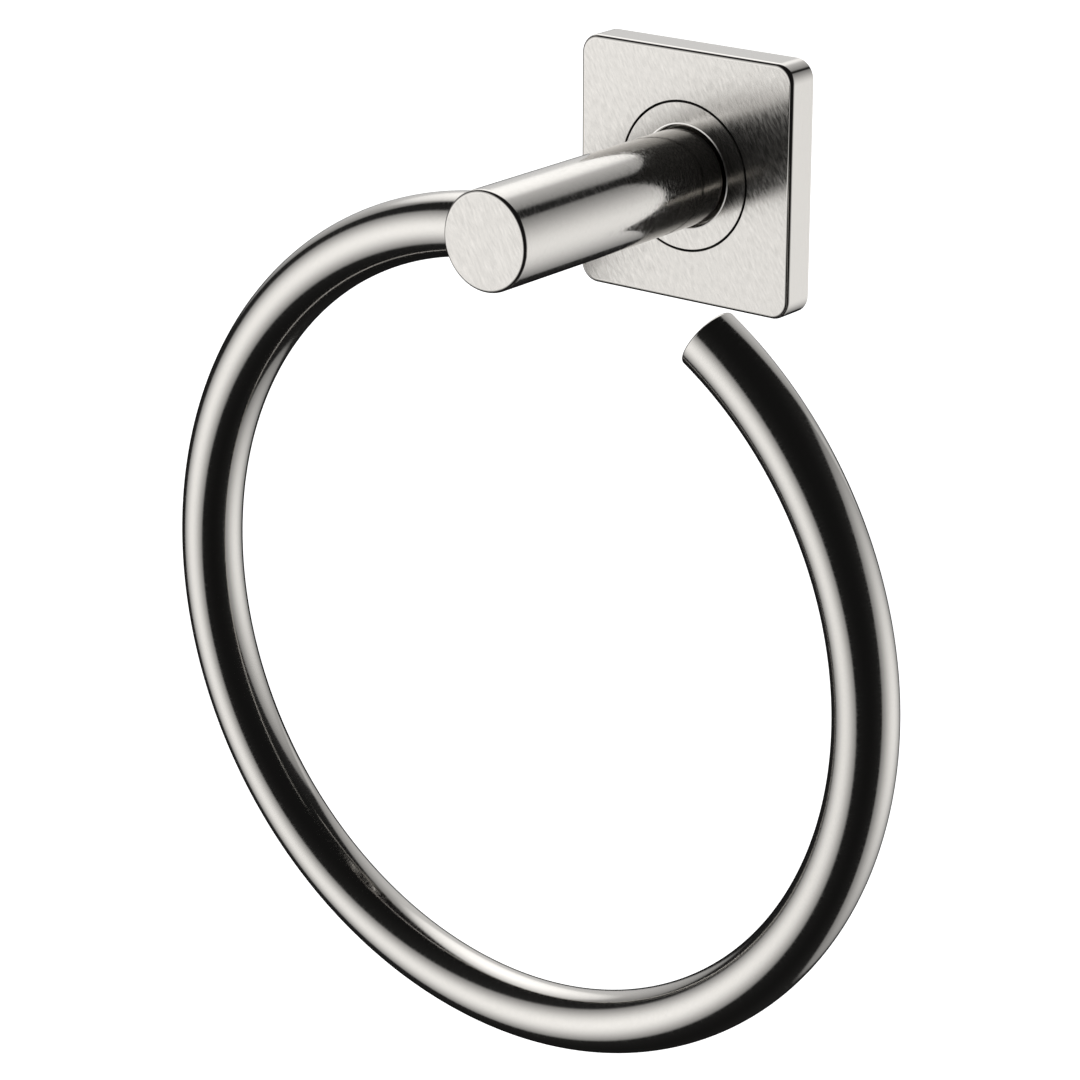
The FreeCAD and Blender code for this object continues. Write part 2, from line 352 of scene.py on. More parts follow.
def make_cover_plate():
    k = Skin()
    h = PLATE_SIDE / 2
    flat_steps, arc_steps = 40, 20
    k.finish = 1
    stations = [(0.0, y, 1.0, 0.0) for y in np.linspace(0.0, -PLATE_DEPTH + PLATE_EDGE, 8)]
    wall_of_square(k, h, PLATE_CORNER, stations, flat_steps, arc_steps, rim_brush(40.0))
    stations = []
    for q in np.linspace(0, math.pi / 2, 13):
        stations.append((PLATE_EDGE * (1 - math.cos(q)),
                         -PLATE_DEPTH + PLATE_EDGE - PLATE_EDGE * math.sin(q),
                         math.cos(q), -math.sin(q)))
    wall_of_square(k, h, PLATE_CORNER, stations, flat_steps, arc_steps, rim_brush(40.0))
    pts, nrm = square_loop(h, PLATE_CORNER, flat_steps, arc_steps)
    pts = pts - nrm * PLATE_EDGE
    outer = np.stack([pts[:, 0], np.full(len(pts), -PLATE_DEPTH), pts[:, 1]], -1)
    n = 192
    k.finish = 0
    k.band(outer, circle(PLATE_HOLE + SEAM_BREAK, -PLATE_DEPTH, n), -Y, front_brush(0.0))
    # the break of the hole's edge, and the hole
    turned(k, straight((PLATE_HOLE + SEAM_BREAK, -PLATE_DEPTH), (PLATE_HOLE, -PLATE_DEPTH + SEAM_BREAK), True),
           n, turned_brush(60.0))
    floor_y = -PLATE_DEPTH + PLATE_FRONT_WALL
    turned(k, [(PLATE_HOLE, -PLATE_DEPTH + SEAM_BREAK, -1.0, 0.0), (PLATE_HOLE, floor_y, -1.0, 0.0)],
           n, turned_brush(60.0))
    # pocket
    hp, cp = h - PLATE_RIM_WALL, PLATE_CORNER - PLATE_RIM_WALL
    wall_of_square(k, hp, cp, [(0.0, floor_y, 1.0, 0.0), (0.0, 0.0, 1.0, 0.0)],
                   24, 10, rim_brush(80.0), -1.0)
    pin, _ = square_loop(hp, cp, 24, 10)
    ploop = lambda y: np.stack([pin[:, 0], np.full(len(pin), y), pin[:, 1]], -1)
    k.band(ploop(floor_y), circle(PLATE_HOLE, floor_y, n), Y, front_brush(20.0))
    pout, _ = square_loop(h, PLATE_CORNER, flat_steps, arc_steps)
    back = np.stack([pout[:, 0], np.zeros(len(pout)), pout[:, 1]], -1)
    k.band(back, ploop(0.0), Y, front_brush(30.0))
    return k.mesh("plate_skin")


# ------------------------------------------------------------------------ hub


def make_wall_hub():
    k = Skin()
    n = 192
    for i, (a, b) in enumerate(zip(HUB_PROFILE[:-1], HUB_PROFILE[1:])):
        # the lip's two runs (WELL_LIP and the next) take the lighter nickel, a painted highlight
        # the next two runs, the well's wall and floor, take the darker nickel, painted shade
        k.finish = {WELL_LIP: 1, WELL_LIP + 1: 1, WELL_LIP + 2: 2, WELL_LIP + 3: 2}.get(i, 0)
        if abs(a[1] - b[1]) < 1e-9 and abs(a[1] + 7.2) < 1e-9:
            # the flush front of the disc, with the same straight marks as the plate
            k.flat([circle(a[0], a[1], n), circle(b[0], b[1], n)], -Y, front_brush(0.0))
        elif abs(a[1] - b[1]) < 1e-9:
            prof = straight(a, b, True)
            turned(k, prof, n, lathe_brush(100.0 + 7 * i))
        else:
            turned(k, straight(a, b, True), n, turned_brush(100.0 + 7 * i))
    k.finish = 0
    # back face with the thread's hole and the dowel's hole
    m, md = 96, 32
    yb = HUB_PROFILE[0][1]
    k.flat([circle(HUB_PROFILE[0][0], yb, n), circle(HUB_THREAD, yb, m),
            circle(DOWEL_R, yb, md, 0.0, DOWEL_Z)], Y, lathe_brush(300.0))
    turned(k, [(HUB_THREAD, yb, -1, 0), (HUB_THREAD, HUB_THREAD_END, -1, 0)], m, turned_brush(310.0))
    turned(k, straight((HUB_THREAD, HUB_THREAD_END), (0.0, HUB_THREAD_END - 1.7)), m, turned_brush(320.0))
    turned(k, [(DOWEL_R, yb, -1, 0), (DOWEL_R, DOWEL_HOLE_END, -1, 0)], md, turned_brush(330.0), 0.0, DOWEL_Z)
    turned(k, [(DOWEL_R, DOWEL_HOLE_END, 0, 1), (0.0, DOWEL_HOLE_END, 0, 1)], md, turned_brush(340.0), 0.0, DOWEL_Z)
    return k.mesh("hub_skin")


# ----------------------------------------------------------------------- root

T0 = math.radians(ROOT_DEG)
ROOT = np.array([math.sin(T0), 0.0, -math.cos(T0)])          # into the post
ACROSS = np.array([math.cos(T0), 0.0, math.sin(T0)])         # away from the ring's middle
ROOT_START = np.array([RING_R * math.cos(T0), RING_Y, RING_Z + RING_R * math.sin(T0)])
S0 = float(ROOT_START @ ROOT)                                # station where the arc starts
E0 = float(ROOT_START @ ACROSS)                              # the root's height off the post's axis
S_TIP = S0 + (4.0 - ROOT_START[0]) / ROOT[0]
S_HOLE = S0 + (4.25 - ROOT_START[0]) / ROOT[0]


def root_point(s, r, t):
    """Point on a tube round the root's line, t from the wall side over ACROSS."""
    s, t = np.asarray(s, float), np.asarray(t, float)
    nrm = np.sin(t)[..., None] * ACROSS + np.cos(t)[..., None] * Y
    pts = ROOT_START + (s - S0)[..., None] * ROOT + r * nrm
    return pts, nrm


def screw_rim(r, n):
    """Where the fixing screw's hole meets a tube of radius r round the root."""
    tau = angles(n)[:-1]
    return np.stack([np.arcsin((SCREW_HOLE * np.sin(tau) - E0) / r), SCREW_HOLE * np.cos(tau)], -1)


# ----------------------------------------------------------------------- post


def post_point(psi, y, r):
    psi, y = np.broadcast_arrays(np.asarray(psi, float), np.asarray(y, float))
    nrm = -np.cos(psi)[..., None] * ROOT + np.sin(psi)[..., None] * ACROSS
    pts = r * nrm
    pts[..., 1] = y
    return pts, nrm


def make_post():
    k = Skin()
    tb = turned_brush(0.0)

    def strip(psi, ys, r, sign=1.0):
        pp, yy = np.meshgrid(psi, ys)
        pts, nrm = post_point(pp, yy, r)
        k.grid(pts, sign * nrm, tb(pts))

    n = 192
    step = 2 * math.pi / n
    i0, i1 = -22, 31                       # the cross hole's patch
    j0, j1 = -44 - 10, -44 + 10            # the set screw hole's patch
    full = np.arange(-n // 2, n // 2 + 1) * step
    y_front = POST_FRONT + POST_EDGE
    # front fillet and front face
    q = np.linspace(0, math.pi / 2, 17)
    pp, qq = np.meshgrid(full, q)
    pts, nrm = post_point(pp, 0 * pp, 1.0)
    rr = POST_R - POST_EDGE * (1 - np.cos(qq))
    pts = nrm * rr[..., None]
    pts[..., 1] = y_front - POST_EDGE * np.sin(qq)
    nn = nrm * np.cos(qq)[..., None]
    nn[..., 1] = -np.sin(qq)
    k.grid(pts, nn, tb(pts))
    face, _ = post_point(full[:-1], POST_FRONT, POST_R - POST_EDGE)
    k.finish = 1
    k.flat([face], -Y, front_brush(55.0))
    k.finish = 0
    # side
    strip(full, np.linspace(y_front, -69.5, 3), POST_R)
    ys = np.linspace(-69.5, -52.5, 18)      # 17 rows of about 1 mm
    strip(np.arange(-n // 2, i0 + 1) * step, ys, POST_R)
    strip(np.arange(i1, n // 2 + 1) * step, ys, POST_R)
    m = 2 * (53 + 17)
    tt = angles(m)[:-1]
    rim = np.stack([np.arcsin((E0 + CROSS_R * np.sin(tt)) / POST_R), RING_Y + CROSS_R * np.cos(tt)], -1)
    uv = holed(np.arange(i0, i1 + 1) * step, ys, rim, 8)
    pts, nrm = post_point(uv[..., 0], uv[..., 1], POST_R)
    k.grid(pts, nrm, tb(pts))
    strip(full, np.linspace(-52.5, -18.0, 20), POST_R)
    ys = np.linspace(-18.0, -10.0, 9)
    strip(np.arange(-n // 2, j0 + 1) * step, ys, POST_R)
    strip(np.arange(j1, n // 2 + 1) * step, ys, POST_R)
    ms = 2 * (20 + 8)
    ts = angles(ms)[:-1]
    psi_s = -math.atan2(ROOT[0], ROOT[2])   # straight down
    rim = np.stack([psi_s + np.arcsin(SET_R * np.sin(ts) / POST_R), SET_Y + SET_R * np.cos(ts)], -1)
    uv = holed(np.arange(j0, j1 + 1) * step, ys, rim, 4)
    pts, nrm = post_point(uv[..., 0], uv[..., 1], POST_R)
    k.grid(pts, nrm, tb(pts))
    strip(full, np.linspace(-10.0, POST_FOOT - POST_CHAMFER, 5), POST_R)
    # foot
    nb = 96
    stepb = 2 * math.pi / nb
    fullb = np.arange(-nb // 2, nb // 2 + 1) * stepb
    a, na = post_point(full, POST_FOOT - POST_CHAMFER, POST_R)
    b, _ = post_point(full, POST_FOOT, POST_R - POST_CHAMFER)
    nn = na * math.sqrt(0.5)
    nn[..., 1] = math.sqrt(0.5)
    k.grid(np.array([a, b]), np.array([nn, nn]), tb(np.array([a, b])))
    bore, _ = post_point(fullb[:-1], POST_FOOT, POST_BORE)
    k.flat([b[:-1], bore], Y, lathe_brush(10.0))
    # bore, with the set screw's hole through its wall
    strip(fullb, np.linspace(POST_FOOT, -9.5, 3), POST_BORE, -1.0)
    jb0, jb1 = -22 - 7, -22 + 7
    ys = np.linspace(-18.5, -9.5, 15)
    strip(np.arange(-nb // 2, jb0 + 1) * stepb, ys, POST_BORE, -1.0)
    strip(np.arange(jb1, nb // 2 + 1) * stepb, ys, POST_BORE, -1.0)
    rimb = np.stack([psi_s + np.arcsin(SET_R * np.sin(ts) / POST_BORE), SET_Y + SET_R * np.cos(ts)], -1)
    uv = holed(np.arange(jb0, jb1 + 1) * stepb, ys, rimb, 3)
    pts, nrm = post_point(uv[..., 0], uv[..., 1], POST_BORE)
    k.grid(pts, -nrm, tb(pts))
    strip(fullb, np.linspace(-18.5, POST_BORE_END, 3), POST_BORE, -1.0)
    tc = angles(ms)
    hole_n = np.stack([-np.sin(tc), -np.cos(tc), 0 * tc], -1)
    x = SET_R * np.sin(tc)
    rows = np.array([np.stack([x, SET_Y + SET_R * np.cos(tc), -np.sqrt(r * r - x * x)], -1)
                     for r in (POST_R, POST_BORE)])
    k.grid(rows, np.array([hole_n, hole_n]), np.stack([rows[..., 2], rows[..., 0], rows[..., 1]], -1))
    # bore's end, the screw's bore, its seat
    l7, _ = post_point(fullb[:-1], POST_BORE_END, POST_BORE)
    l46, _ = post_point(fullb[:-1], POST_BORE_END, SCREW_BORE)
    k.flat([l7, l46], Y, lathe_brush(20.0))
    strip(fullb, np.linspace(POST_BORE_END, SEAT, 3), SCREW_BORE, -1.0)
    s46, _ = post_point(fullb[:-1], SEAT, SCREW_BORE)
    mh = 72
    tau = angles(mh)
    ring_dir = np.cos(tau)[:, None] * ROOT + np.sin(tau)[:, None] * ACROSS
    seat = SCREW_HOLE * ring_dir
    seat[:, 1] = SEAT
    k.flat([s46, seat[:-1]], Y, lathe_brush(30.0))
    low = SCREW_HOLE * ring_dir
    low[:, 1] = RING_Y + np.sqrt(CROSS_R ** 2 - (SCREW_HOLE * np.sin(tau) - E0) ** 2)
    k.grid(np.array([seat, low]), np.array([-ring_dir, -ring_dir]), tb(np.array([seat, low])))
    # cross hole
    tm = angles(m)
    e = E0 + CROSS_R * np.sin(tm)
    s_out = -np.sqrt(POST_R ** 2 - e * e)
    sa, sb = -4.0, 3.6
    w = np.linspace(0, 1, 5)[:, None]
    ss = s_out[None] * (1 - w) + sa * w
    pts, nrm = root_point(ss, CROSS_R, np.broadcast_to(tm, ss.shape))
    cb = lambda p: np.stack([p @ ROOT + 50.0, p @ ACROSS, p[..., 1]], -1)
    k.grid(pts, -nrm, cb(pts))
    # m points round, the screw hole's patch from station ia to ib
    st = 2 * math.pi / m
    ia, ib = -18, 10
    rows_s = np.linspace(sa, sb, 9)
    tt2, s2 = np.meshgrid(np.arange(ib, m + ia + 1) * st, rows_s)
    pts, nrm = root_point(s2, CROSS_R, tt2)
    k.grid(pts, -nrm, cb(pts))
    uv = holed(np.arange(ia, ib + 1) * st, rows_s, screw_rim(CROSS_R, mh), 4)
    pts, nrm = root_point(uv[..., 1], CROSS_R, uv[..., 0])
    k.grid(pts, -nrm, cb(pts))
    tt2, s2 = np.meshgrid(tm, np.array([sb, S_HOLE]))
    pts, nrm = root_point(s2, CROSS_R, tt2)
    k.grid(pts, -nrm, cb(pts))
    end, _ = root_point(np.full(m, S_HOLE), CROSS_R, tm[:-1])
    k.flat([end], -ROOT, cb)
    return k.mesh("post_skin")


# ----------------------------------------------------------------------- ring


def arc_point(T, r, t):
    """Point on a tube round the arc; T along the arc, t round the tube."""
    T, t = np.asarray(T, float), np.asarray(t, float)
    rho = np.stack([np.cos(T), 0 * T, np.sin(T)], -1)
    nrm = np.sin(t)[..., None] * rho + np.cos(t)[..., None] * Y
    mid = np.array([0.0, RING_Y, RING_Z]) + RING_R * rho
    return mid + np.asarray(r, float)[..., None] * nrm, nrm


def tube_brush(s, r, t):
    """The straightened tube: length along it, then the place in its section."""
    s, r, t = np.broadcast_arrays(np.asarray(s, float), np.asarray(r, float), np.asarray(t, float))
    return np.stack([s, r * np.sin(t), r * np.cos(t)], -1)


def make_ring():
    k = Skin()
    no, ni, mh = 120, 60, 72
    T1 = math.radians(END_DEG)
    T_edge = T1 - TUBE_EDGE / RING_R

    def along(s):
        """Length from the arc's start, negative in the root."""
        return -(np.asarray(s, float) - S0)

    def root_strip(ts, ss, r, sign):
        tt, s2 = np.meshgrid(ts, ss)
        pts, nrm = root_point(s2, r, tt)
        k.grid(pts, sign * nrm, tube_brush(along(s2), r, tt))

    for r, n, ia, ib, rows, sign in ((TUBE_R, no, -15, 8, 13, 1.0), (TUBE_BORE, ni, -9, 5, 22, -1.0)):
        st = 2 * math.pi / n
        full = np.arange(n + 1) * st
        sa, sb = -3.75, 3.5
        root_strip(full, np.array([S_TIP, sb]), r, sign)
        ss = np.linspace(sa, sb, rows + 1)
        root_strip(np.arange(ib, n + ia + 1) * st, ss, r, sign)
        uv = holed(np.arange(ia, ib + 1) * st, ss, screw_rim(r, mh), 4)
        pts, nrm = root_point(uv[..., 1], r, uv[..., 0])
        k.grid(pts, sign * nrm, tube_brush(along(uv[..., 1]), r, uv[..., 0]))
        root_strip(full, np.linspace(sa, S0, 11), r, sign)
        steps = 600 if r == TUBE_R else 200
        last = T_edge if r == TUBE_R else T1
        tt, TT = np.meshgrid(full, np.linspace(T0, last, steps + 1))
        pts, nrm = arc_point(TT, np.full(TT.shape, r), tt)
        k.grid(pts, sign * nrm, tube_brush((TT - T0) * RING_R, r, tt))
    # the screw's hole through the tube's wall
    tau = angles(mh)
    ring_dir = np.cos(tau)[:, None] * ROOT + np.sin(tau)[:, None] * ACROSS
    rows = []
    for r in (TUBE_R, TUBE_BORE):
        p = SCREW_HOLE * ring_dir
        p[:, 1] = RING_Y + np.sqrt(r ** 2 - (SCREW_HOLE * np.sin(tau) - E0) ** 2)
        rows.append(p)
    rows = np.array(rows)
    k.grid(rows, np.array([-ring_dir, -ring_dir]), rows)
    # the root's end face
    to, ti = angles(no)[:-1], angles(ni)[:-1]
    a, _ = root_point(np.full(no, S_TIP), TUBE_R, to)
    b, _ = root_point(np.full(ni, S_TIP), TUBE_BORE, ti)
    k.flat([a, b], ROOT, lambda p: p)
    # rounded edge and face of the open end
    tangent = np.array([-math.sin(T1), 0.0, math.cos(T1)])
    q = np.linspace(0, math.pi / 2, 13)
    tt, qq = np.meshgrid(angles(no), q)
    TT = T1 - TUBE_EDGE * (1 - np.sin(qq)) / RING_R
    rr = TUBE_R - TUBE_EDGE * (1 - np.cos(qq))
    pts, nrm = arc_point(TT, rr, tt)
    tg = np.stack([-np.sin(TT), 0 * TT, np.cos(TT)], -1)
    nn = unit(nrm * np.cos(qq)[..., None] + tg * np.sin(qq)[..., None])
    k.grid(pts, nn, tube_brush((TT - T0) * RING_R, rr, tt))
    a, _ = arc_point(np.full(no, T1), np.full(no, TUBE_R - TUBE_EDGE), to)
    b, _ = arc_point(np.full(ni, T1), np.full(ni, TUBE_BORE), ti)
    k.flat([a, b], tangent, end_brush)
    return k.mesh("ring_skin")


def end_brush(p):
    """Straight marks over the open end's face, in the plane of that face."""
    p = np.asarray(p, float)
    T1 = math.radians(END_DEG)
    rho = np.array([math.cos(T1), 0.0, math.sin(T1)])
    u, v = p @ rho, p[..., 1]
    c, s = math.cos(0.6), math.sin(0.6)
    return np.stack([u * c - v * s, u * s + v * c, np.full(u.shape, 210.0)], -1)


def make_end_plug():
    k = Skin()
    n = 60
    T1 = math.radians(END_DEG)
    T_in = T1 - PLUG_LENGTH / RING_R
    T_ch = T1 - PLUG_CHAMFER / RING_R
    full = angles(n)
    tt, TT = np.meshgrid(full, np.linspace(T_in, T_ch, 6))
    pts, nrm = arc_point(TT, np.full(TT.shape, TUBE_BORE), tt)
    k.grid(pts, nrm, tube_brush((TT - T0) * RING_R, TUBE_BORE, tt))
    tt, TT = np.meshgrid(full, np.array([T_ch, T1]))
    rr = np.array([TUBE_BORE, TUBE_BORE - PLUG_CHAMFER])[:, None] * np.ones(n + 1)
    pts, nrm = arc_point(TT, rr, tt)
    tg = np.stack([-np.sin(TT), 0 * TT, np.cos(TT)], -1)
    k.grid(pts, unit(nrm + tg), tube_brush((TT - T0) * RING_R, rr, tt))
    a, _ = arc_point(np.full(n, T1), np.full(n, TUBE_BORE - PLUG_CHAMFER), full[:-1])
    k.flat([a], np.array([-math.sin(T1), 0.0, math.cos(T1)]), end_brush)
    b, _ = arc_point(np.full(n, T_in), np.full(n, TUBE_BORE), full[:-1])
    k.flat([b], -np.array([-math.sin(T_in), 0.0, math.cos(T_in)]), end_brush)
    return k.mesh("end_plug_skin")


# ------------------------------------------------------------------ materials


def new_material(name):
    mat = bpy.data.materials.new(name)
    mat.use_nodes = True
    tree = mat.node_tree
    tree.nodes.clear()
    out = tree.nodes.new("ShaderNodeOutputMaterial")
    bsdf = tree.nodes.new("ShaderNodeBsdfPrincipled")
    tree.links.new(bsdf.outputs[0], out.inputs[0])
    return mat, tree, bsdf


def scaled(tree, source, sx, sy, sz, shift=(0.0, 0.0, 0.0)):
    n = tree.nodes.new("ShaderNodeVectorMath")
    n.operation = "MULTIPLY_ADD"
    tree.links.new(source, n.inputs[0])
    n.inputs[1].default_value = (sx, sy, sz)
    n.inputs[2].default_value = shift
    return n.outputs[0]


def noise(tree, vector, detail, rough=0.5, distortion=0.0):
    n = tree.nodes.new("ShaderNodeTexNoise")
    n.noise_dimensions = "3D"
    n.inputs["Scale"].default_value = 1.0
    n.inputs["Detail"].default_value = detail
    n.inputs["Roughness"].default_value = rough
    n.inputs["Distortion"].default_value = distortion
    tree.links.new(vector, n.inputs["Vector"])
    return n.outputs[0]


def ranged(tree, value, lo, hi, to_lo, to_hi):
    n = tree.nodes.new("ShaderNodeMapRange")
    n.clamp = True
    tree.links.new(value, n.inputs[0])
    for i, v in enumerate((lo, hi, to_lo, to_hi)):
        n.inputs[1 + i].default_value = v
    return n.outputs[0]


def math_node(tree, op, a, b=None):
    n = tree.nodes.new("ShaderNodeMath")
    n.operation = op
    for i, v in enumerate((a, b)):
        if v is None:
            continue
        if isinstance(v, (int, float)):
            n.inputs[i].default_value = v
        else:
            tree.links.new(v, n.inputs[i])
    return n.outputs[0]


def tinted(tree, value, dark, light):
    n = tree.nodes.new("ShaderNodeMix")
    n.data_type = "RGBA"
    tree.links.new(value, n.inputs[0])
    n.inputs[6].default_value = (*dark, 1.0)
    n.inputs[7].default_value = (*light, 1.0)
    return n.outputs[2]


NICKEL = (0.636, 0.616, 0.586)
# The lip's colour below is lighter than NICKEL: a painted highlight along the raised lip round the well. The lip's
# shape itself is real.
LIP_PAINTED_HIGHLIGHT = (0.80, 0.78, 0.75)
# The well's colour below is darker than NICKEL: painted shade on the wall and floor of the well round the post's
# foot.
WELL_PAINTED_SHADE = (0.50, 0.48, 0.45)


def satin_nickel(name, rough, vary, tone, depth, colour=NICKEL, across=1.35, along=0.5,
                 metallic=1.0):
    """Brushed metal. rough and vary: middle and swing of the roughness; tone:
    share of light and dark; depth: height of the marks in metres; across and
    along: marks per millimetre in brush space; metallic: under 1 where the
    brushing scatters a little light evenly."""
    mat, t, b = new_material(name)
    at = t.nodes.new("ShaderNodeAttribute")
    at.attribute_name = "brush"
    vec = at.outputs["Vector"]
    marks = noise(t, scaled(t, vec, across, along, along), 2.0, 0.5)
    other = noise(t, scaled(t, vec, across, along, along, (31.0, 17.0, 5.0)), 2.0, 0.5)
    cloud = noise(t, scaled(t, vec, 0.11, 0.07, 0.07, (11.0, 5.0, 2.0)), 2.0, 0.5)
    shade = ranged(t, marks, 0.2, 0.8, 0.0, 1.0)
    dark = tuple(c * (1 - tone) for c in colour)
    light = tuple(c * (1 + tone) for c in colour)
    t.links.new(tinted(t, shade, dark, light), b.inputs["Base Color"])
    b.inputs["Metallic"].default_value = metallic
    r = math_node(t, "ADD", ranged(t, other, 0.34, 0.66, rough - vary, rough + vary),
                  ranged(t, cloud, 0.3, 0.7, -0.004, 0.004))
    t.links.new(r, b.inputs["Roughness"])
    bump = t.nodes.new("ShaderNodeBump")
    bump.inputs["Strength"].default_value = 1.0
    bump.inputs["Distance"].default_value = depth
    t.links.new(other, bump.inputs["Height"])
    t.links.new(bump.outputs[0], b.inputs["Normal"])
    return mat


def object_metal(name, colour, rough, scale, depth, tone):
    """Plain metal of the hidden pieces, marked in the object's own space."""
    mat, t, b = new_material(name)
    co = t.nodes.new("ShaderNodeTexCoord").outputs["Object"]
    marks = noise(t, scaled(t, co, *scale), 4.0, 0.6)
    cloud = noise(t, scaled(t, co, 140.0, 140.0, 140.0, (4.0, 1.0, 9.0)), 3.0, 0.5)
    shade = ranged(t, cloud, 0.3, 0.7, 0.0, 1.0)
    t.links.new(tinted(t, shade, tuple(c * (1 - tone) for c in colour),
                       tuple(min(1.0, c * (1 + tone)) for c in colour)), b.inputs["Base Color"])
    b.inputs["Metallic"].default_value = 1.0
    r = math_node(t, "ADD", ranged(t, marks, 0.3, 0.7, rough - 0.05, rough + 0.05),
                  ranged(t, cloud, 0.3, 0.7, -0.03, 0.03))
    t.links.new(r, b.inputs["Roughness"])
    bump = t.nodes.new("ShaderNodeBump")
    bump.inputs["Strength"].default_value = 1.0
    bump.inputs["Distance"].default_value = depth
    t.links.new(marks, bump.inputs["Height"])
    t.links.new(bump.outputs[0], b.inputs["Normal"])
    return mat


def rubber(name):
    mat, t, b = new_material(name)
    co = t.nodes.new("ShaderNodeTexCoord").outputs["Object"]
    grain = noise(t, scaled(t, co, 5000.0, 5000.0, 5000.0), 3.0, 0.6)
    t.links.new(tinted(t, grain, (0.018, 0.018, 0.018), (0.034, 0.033, 0.032)), b.inputs["Base Color"])
    t.links.new(ranged(t, grain, 0.3, 0.7, 0.55, 0.75), b.inputs["Roughness"])
    b.inputs["Specular IOR Level"].default_value = 0.3
    bump = t.nodes.new("ShaderNodeBump")
    bump.inputs["Strength"].default_value = 0.6
    bump.inputs["Distance"].default_value = 2e-5
    t.links.new(grain, bump.inputs["Height"])
    t.links.new(bump.outputs[0], b.inputs["Normal"])
    return mat


nickel_flat = satin_nickel("nickel_front", 0.19, 0.05, 0.10, 5e-6, NICKEL, 1.9, 0.48, 0.93)
nickel_side = satin_nickel("nickel_side", 0.06, 0.015, 0.015, 2e-6)
# lighter nickel on the raised lip round the well: a painted highlight
nickel_lip_painted_highlight = satin_nickel("nickel_lip_painted_highlight", 0.20, 0.02, 0.03, 3e-6, LIP_PAINTED_HIGHLIGHT)
# darker nickel in the well round the post's foot: painted shade on its wall and floor
nickel_well_painted_shade = satin_nickel("nickel_well_painted_shade", 0.40, 0.08, 0.15, 8e-6, WELL_PAINTED_SHADE)
nickel_post = satin_nickel("nickel_post", 0.12, 0.085, 0.015, 3e-6, NICKEL, 3.4, 1.1)
nickel_tube = satin_nickel("nickel_tube", 0.11, 0.06, 0.010, 3e-6, NICKEL, 3.4, 1.1)
steel = object_metal("rolled_steel", (0.42, 0.42, 0.43), 0.38, (90.0, 90.0, 1500.0), 4e-6, 0.06)
screw_steel = object_metal("screw_steel", (0.48, 0.48, 0.49), 0.27, (2500.0, 2500.0, 2500.0), 2e-6, 0.05)
black_rubber = rubber("black_rubber_ring")


def dress(obj, mats):
    for i, mat in enumerate(mats):
        obj.data.materials[i] = mat


# --------------------------------------------------------------------- pieces

for make, node, mats, slot in (
        (make_cover_plate, "cover_plate", (nickel_flat, nickel_side), "brushed_nickel"),
        (make_wall_hub, "wall_hub", (nickel_flat, nickel_lip_painted_highlight, nickel_well_painted_shade), "brushed_nickel"),
        (make_post, "post", (nickel_post, nickel_flat), "brushed_nickel"),
        (make_ring, "ring", (nickel_tube,), "brushed_nickel_tube"),
        (make_end_plug, "ring_end_plug", (nickel_tube,), "brushed_nickel_tube")):
    piece = make()
    dress(piece, mats)
    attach(piece, "root")
    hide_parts(node)

for node, mat in (("ring_root_plug", steel), ("wall_bracket", steel),
                  ("hub_screw", screw_steel), ("hub_dowel", screw_steel),
                  ("post_set_screw", screw_steel), ("ring_fixing_screw", screw_steel),
                  ("lock_washer", screw_steel), ("cover_o_ring", black_rubber)):
    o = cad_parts[node]
    for s in o.material_slots:
        s.material = mat

# ---------------------------------------------------------------------- floor

mesh = bpy.data.meshes.new("floor")
F = 40.0
mesh.from_pydata([(-F, -F, -1.2), (F, -F, -1.2), (F, F, -1.2), (-F, F, -1.2)], [], [(0, 1, 2, 3)])
floor = bpy.data.objects.new("floor", mesh)
bpy.context.scene.collection.objects.link(floor)
mat, t, b = new_material("pale_floor")
b.inputs["Base Color"].default_value = (0.9, 0.9, 0.9, 1)
b.inputs["Roughness"].default_value = 0.9
b.inputs["Emission Color"].default_value = (1, 1, 1, 1)
b.inputs["Emission Strength"].default_value = 1.0
mat.cycles.emission_sampling = "NONE"
mesh.materials.append(mat)
floor.visible_glossy = False
floor.visible_diffuse = False
floor.visible_shadow = False

# --------------------------------------------------------------------- lights

# Four large round softboxes far from the object, and two faint wide glows
# round them. Each: degrees round from straight out of the wall towards +X,
# degrees up, half width in degrees, softness of the edge in degrees, strength,
# how fast it dims outwards, and the height in degrees that its lower part is
# cut off at.
SOFTBOXES = [
    (-41.47, -7.67, 44.28, 3.6, 1.339, 4.53, None),
    (139.13, -19.07, 47.57, 2.0, 1.106, 3.89, None),
    (-133.50, 45.04, 27.18, 3.7, 0.965, 7.22, None),
    (-146.08, 27.33, 45.55, 3.0, 0.889, 3.06, -4.0),
    (-47.97, -2.32, 89.0, 1.0, 0.0194, 1.70, None),
    (138.12, -15.00, 89.0, 1.0, 0.0373, 2.56, None),
]
DIM = 0.0093

